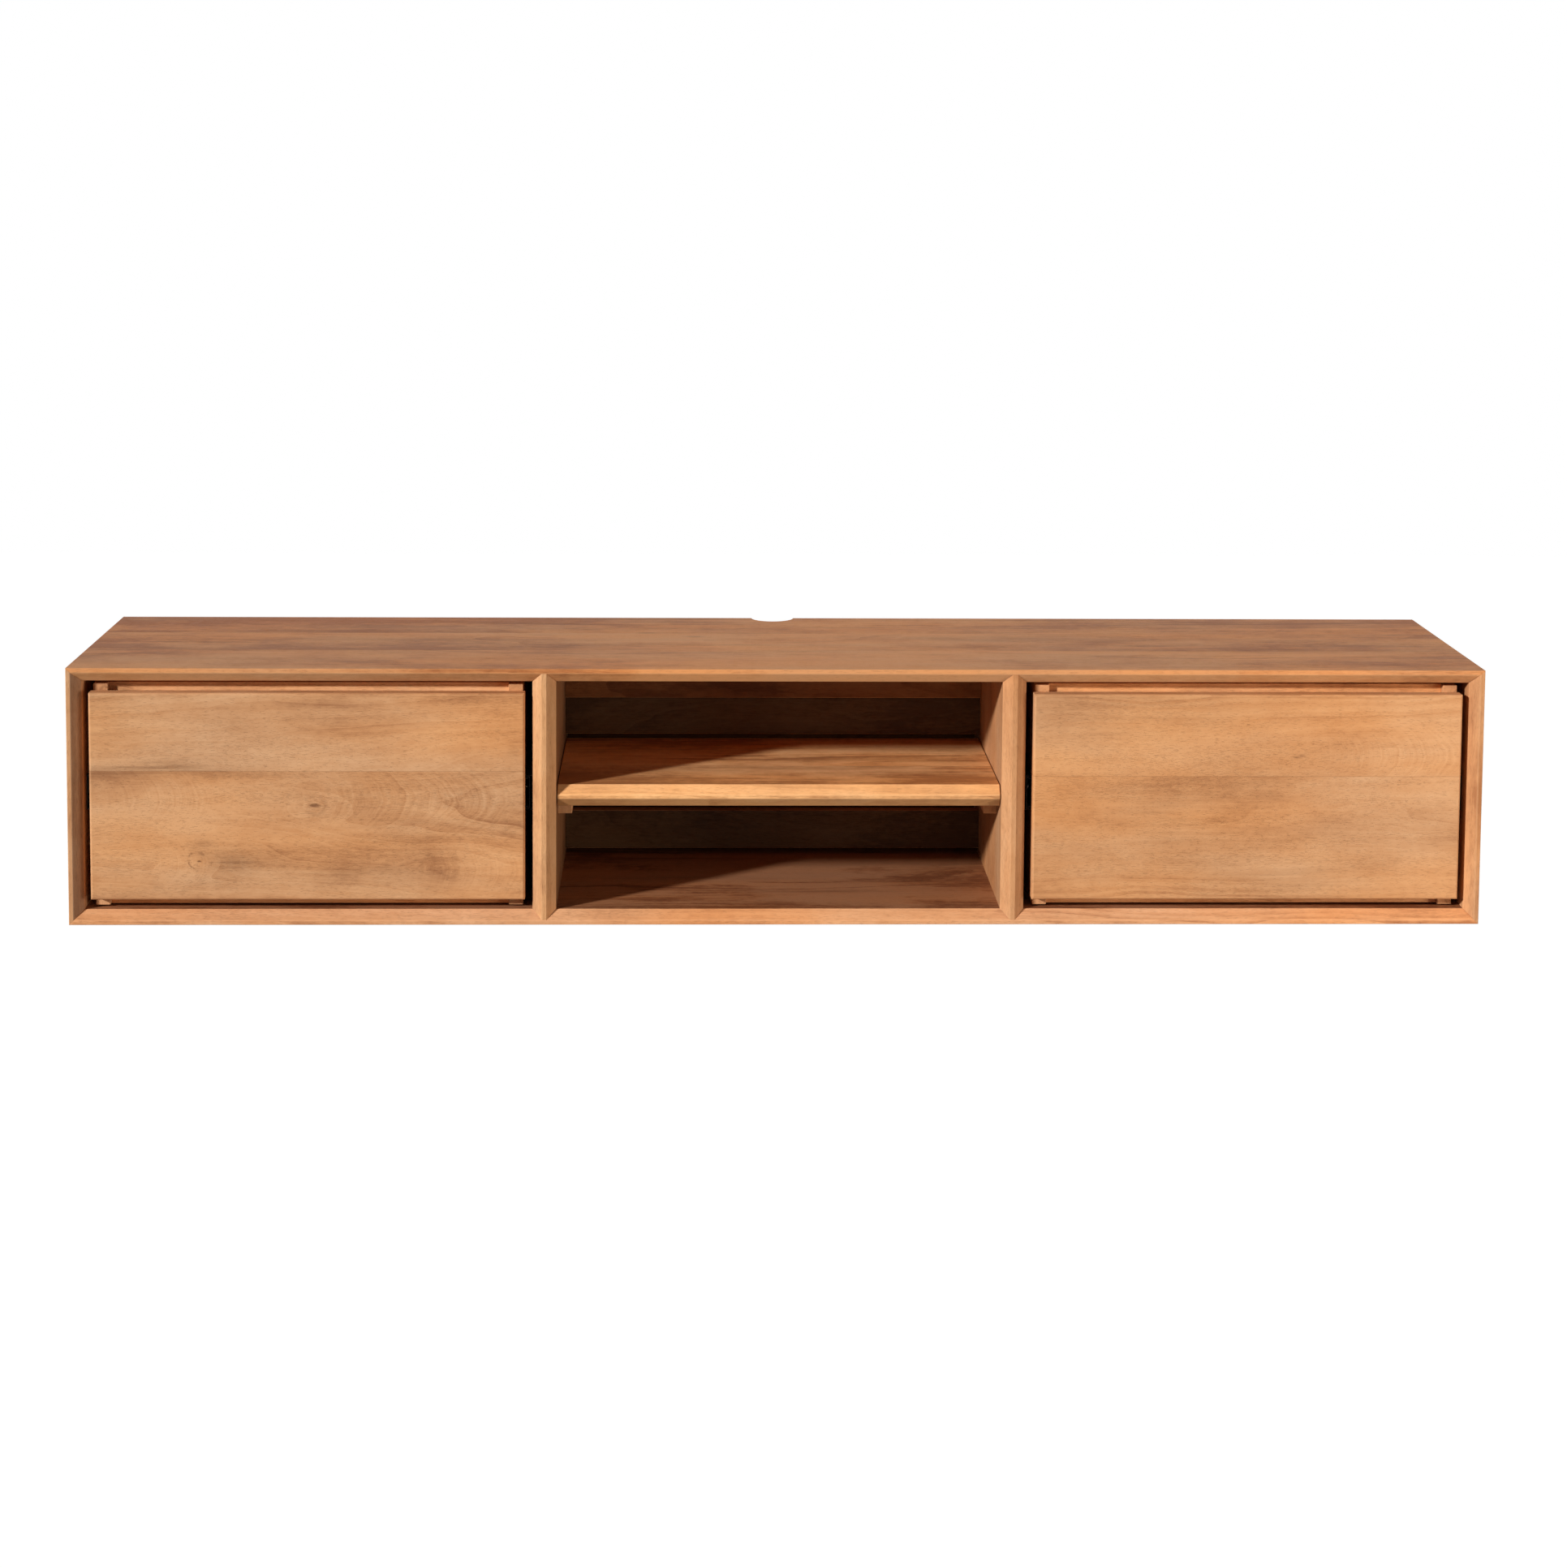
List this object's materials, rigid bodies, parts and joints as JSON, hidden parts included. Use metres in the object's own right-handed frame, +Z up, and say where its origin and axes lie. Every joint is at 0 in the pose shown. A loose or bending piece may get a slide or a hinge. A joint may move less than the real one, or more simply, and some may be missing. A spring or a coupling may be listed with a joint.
{
  "type": "wall-hung media console",
  "caption": "Long low wall-hung wooden media console: open centre bay with shelf and cable ways, handleless drawers on slides at both sides, mitred chamfered carcass.",
  "frame": {"origin": "wall plane, on the centre line, level with the screw holes of the two wall cleats", "axes": "+X along the console to the viewer's right, +Y into the wall, +Z up; the drawers open towards -Y"},
  "size_m": [1.8, 0.4, 0.33],
  "materials": {
    "top_wood": "oiled solid softwood planks, warm reddish brown, satin",
    "edge_wood": "oiled solid softwood, honey, satin",
    "front_wood": "oiled knotty softwood planks, honey brown, satin",
    "inner_wood": "oiled solid softwood, brown, matt to satin",
    "slide_steel": "black electro-coated rolled steel sheet, satin",
    "screw_steel": "yellow-passivated steel"
  },
  "bodies": {
    "carcass": {"top_panel": "top_wood", "bottom_panel": "inner_wood", "left_side_panel": "edge_wood", "right_side_panel": "edge_wood", "left_divider": "edge_wood", "right_divider": "edge_wood", "center_shelf": "inner_wood", "left_shelf_cleat": "inner_wood", "right_shelf_cleat": "inner_wood", "left_shelf_cleat_screw_1": "screw_steel", "left_shelf_cleat_screw_2": "screw_steel", "right_shelf_cleat_screw_1": "screw_steel", "right_shelf_cleat_screw_2": "screw_steel", "center_top_rail": "inner_wood", "upper_back_board": "inner_wood", "lower_back_board": "inner_wood", "center_back_panel": "inner_wood", "left_back_panel": "inner_wood", "right_back_panel": "inner_wood", "left_hanging_rail": "inner_wood", "right_hanging_rail": "inner_wood", "left_wall_cleat": "inner_wood", "right_wall_cleat": "inner_wood", "left_bay_left_slide_outer": "slide_steel", "left_bay_right_slide_outer": "slide_steel", "right_bay_left_slide_outer": "slide_steel", "right_bay_right_slide_outer": "slide_steel"},
    "left_slide_middles": {"left_bay_left_slide_middle": "slide_steel", "left_bay_right_slide_middle": "slide_steel"},
    "right_slide_middles": {"right_bay_left_slide_middle": "slide_steel", "right_bay_right_slide_middle": "slide_steel"},
    "left_drawer": {"left_drawer_front": "front_wood", "left_drawer_inner_front": "inner_wood", "left_drawer_left_side": "inner_wood", "left_drawer_right_side": "inner_wood", "left_drawer_back": "inner_wood", "left_drawer_bottom": "inner_wood", "left_drawer_front_screw_1": "screw_steel", "left_drawer_front_screw_2": "screw_steel", "left_drawer_front_screw_3": "screw_steel", "left_drawer_front_screw_4": "screw_steel", "left_bay_left_slide_inner": "slide_steel", "left_bay_right_slide_inner": "slide_steel"},
    "right_drawer": {"right_drawer_front": "front_wood", "right_drawer_inner_front": "inner_wood", "right_drawer_left_side": "inner_wood", "right_drawer_right_side": "inner_wood", "right_drawer_back": "inner_wood", "right_drawer_bottom": "inner_wood", "right_drawer_front_screw_1": "screw_steel", "right_drawer_front_screw_2": "screw_steel", "right_drawer_front_screw_3": "screw_steel", "right_drawer_front_screw_4": "screw_steel", "right_bay_left_slide_inner": "slide_steel", "right_bay_right_slide_inner": "slide_steel"}
  },
  "joints": [
    {"name": "left_drawer_slide", "type": "slide", "parent": "carcass", "child": "left_drawer", "axis": [0, -1, 0], "range_m": [0, 0.3]},
    {"name": "left_slide_middles_travel", "type": "slide", "parent": "carcass", "child": "left_slide_middles", "axis": [0, -1, 0], "range_m": [0, 0.15]},
    {"name": "right_drawer_slide", "type": "slide", "parent": "carcass", "child": "right_drawer", "axis": [0, -1, 0], "range_m": [0, 0.3]},
    {"name": "right_slide_middles_travel", "type": "slide", "parent": "carcass", "child": "right_slide_middles", "axis": [0, -1, 0], "range_m": [0, 0.15]}
  ],
  "couplings": [
    {"joint": "left_slide_middles_travel", "follows": "left_drawer_slide", "ratio": 0.5},
    {"joint": "right_slide_middles_travel", "follows": "right_drawer_slide", "ratio": 0.5}
  ]
}
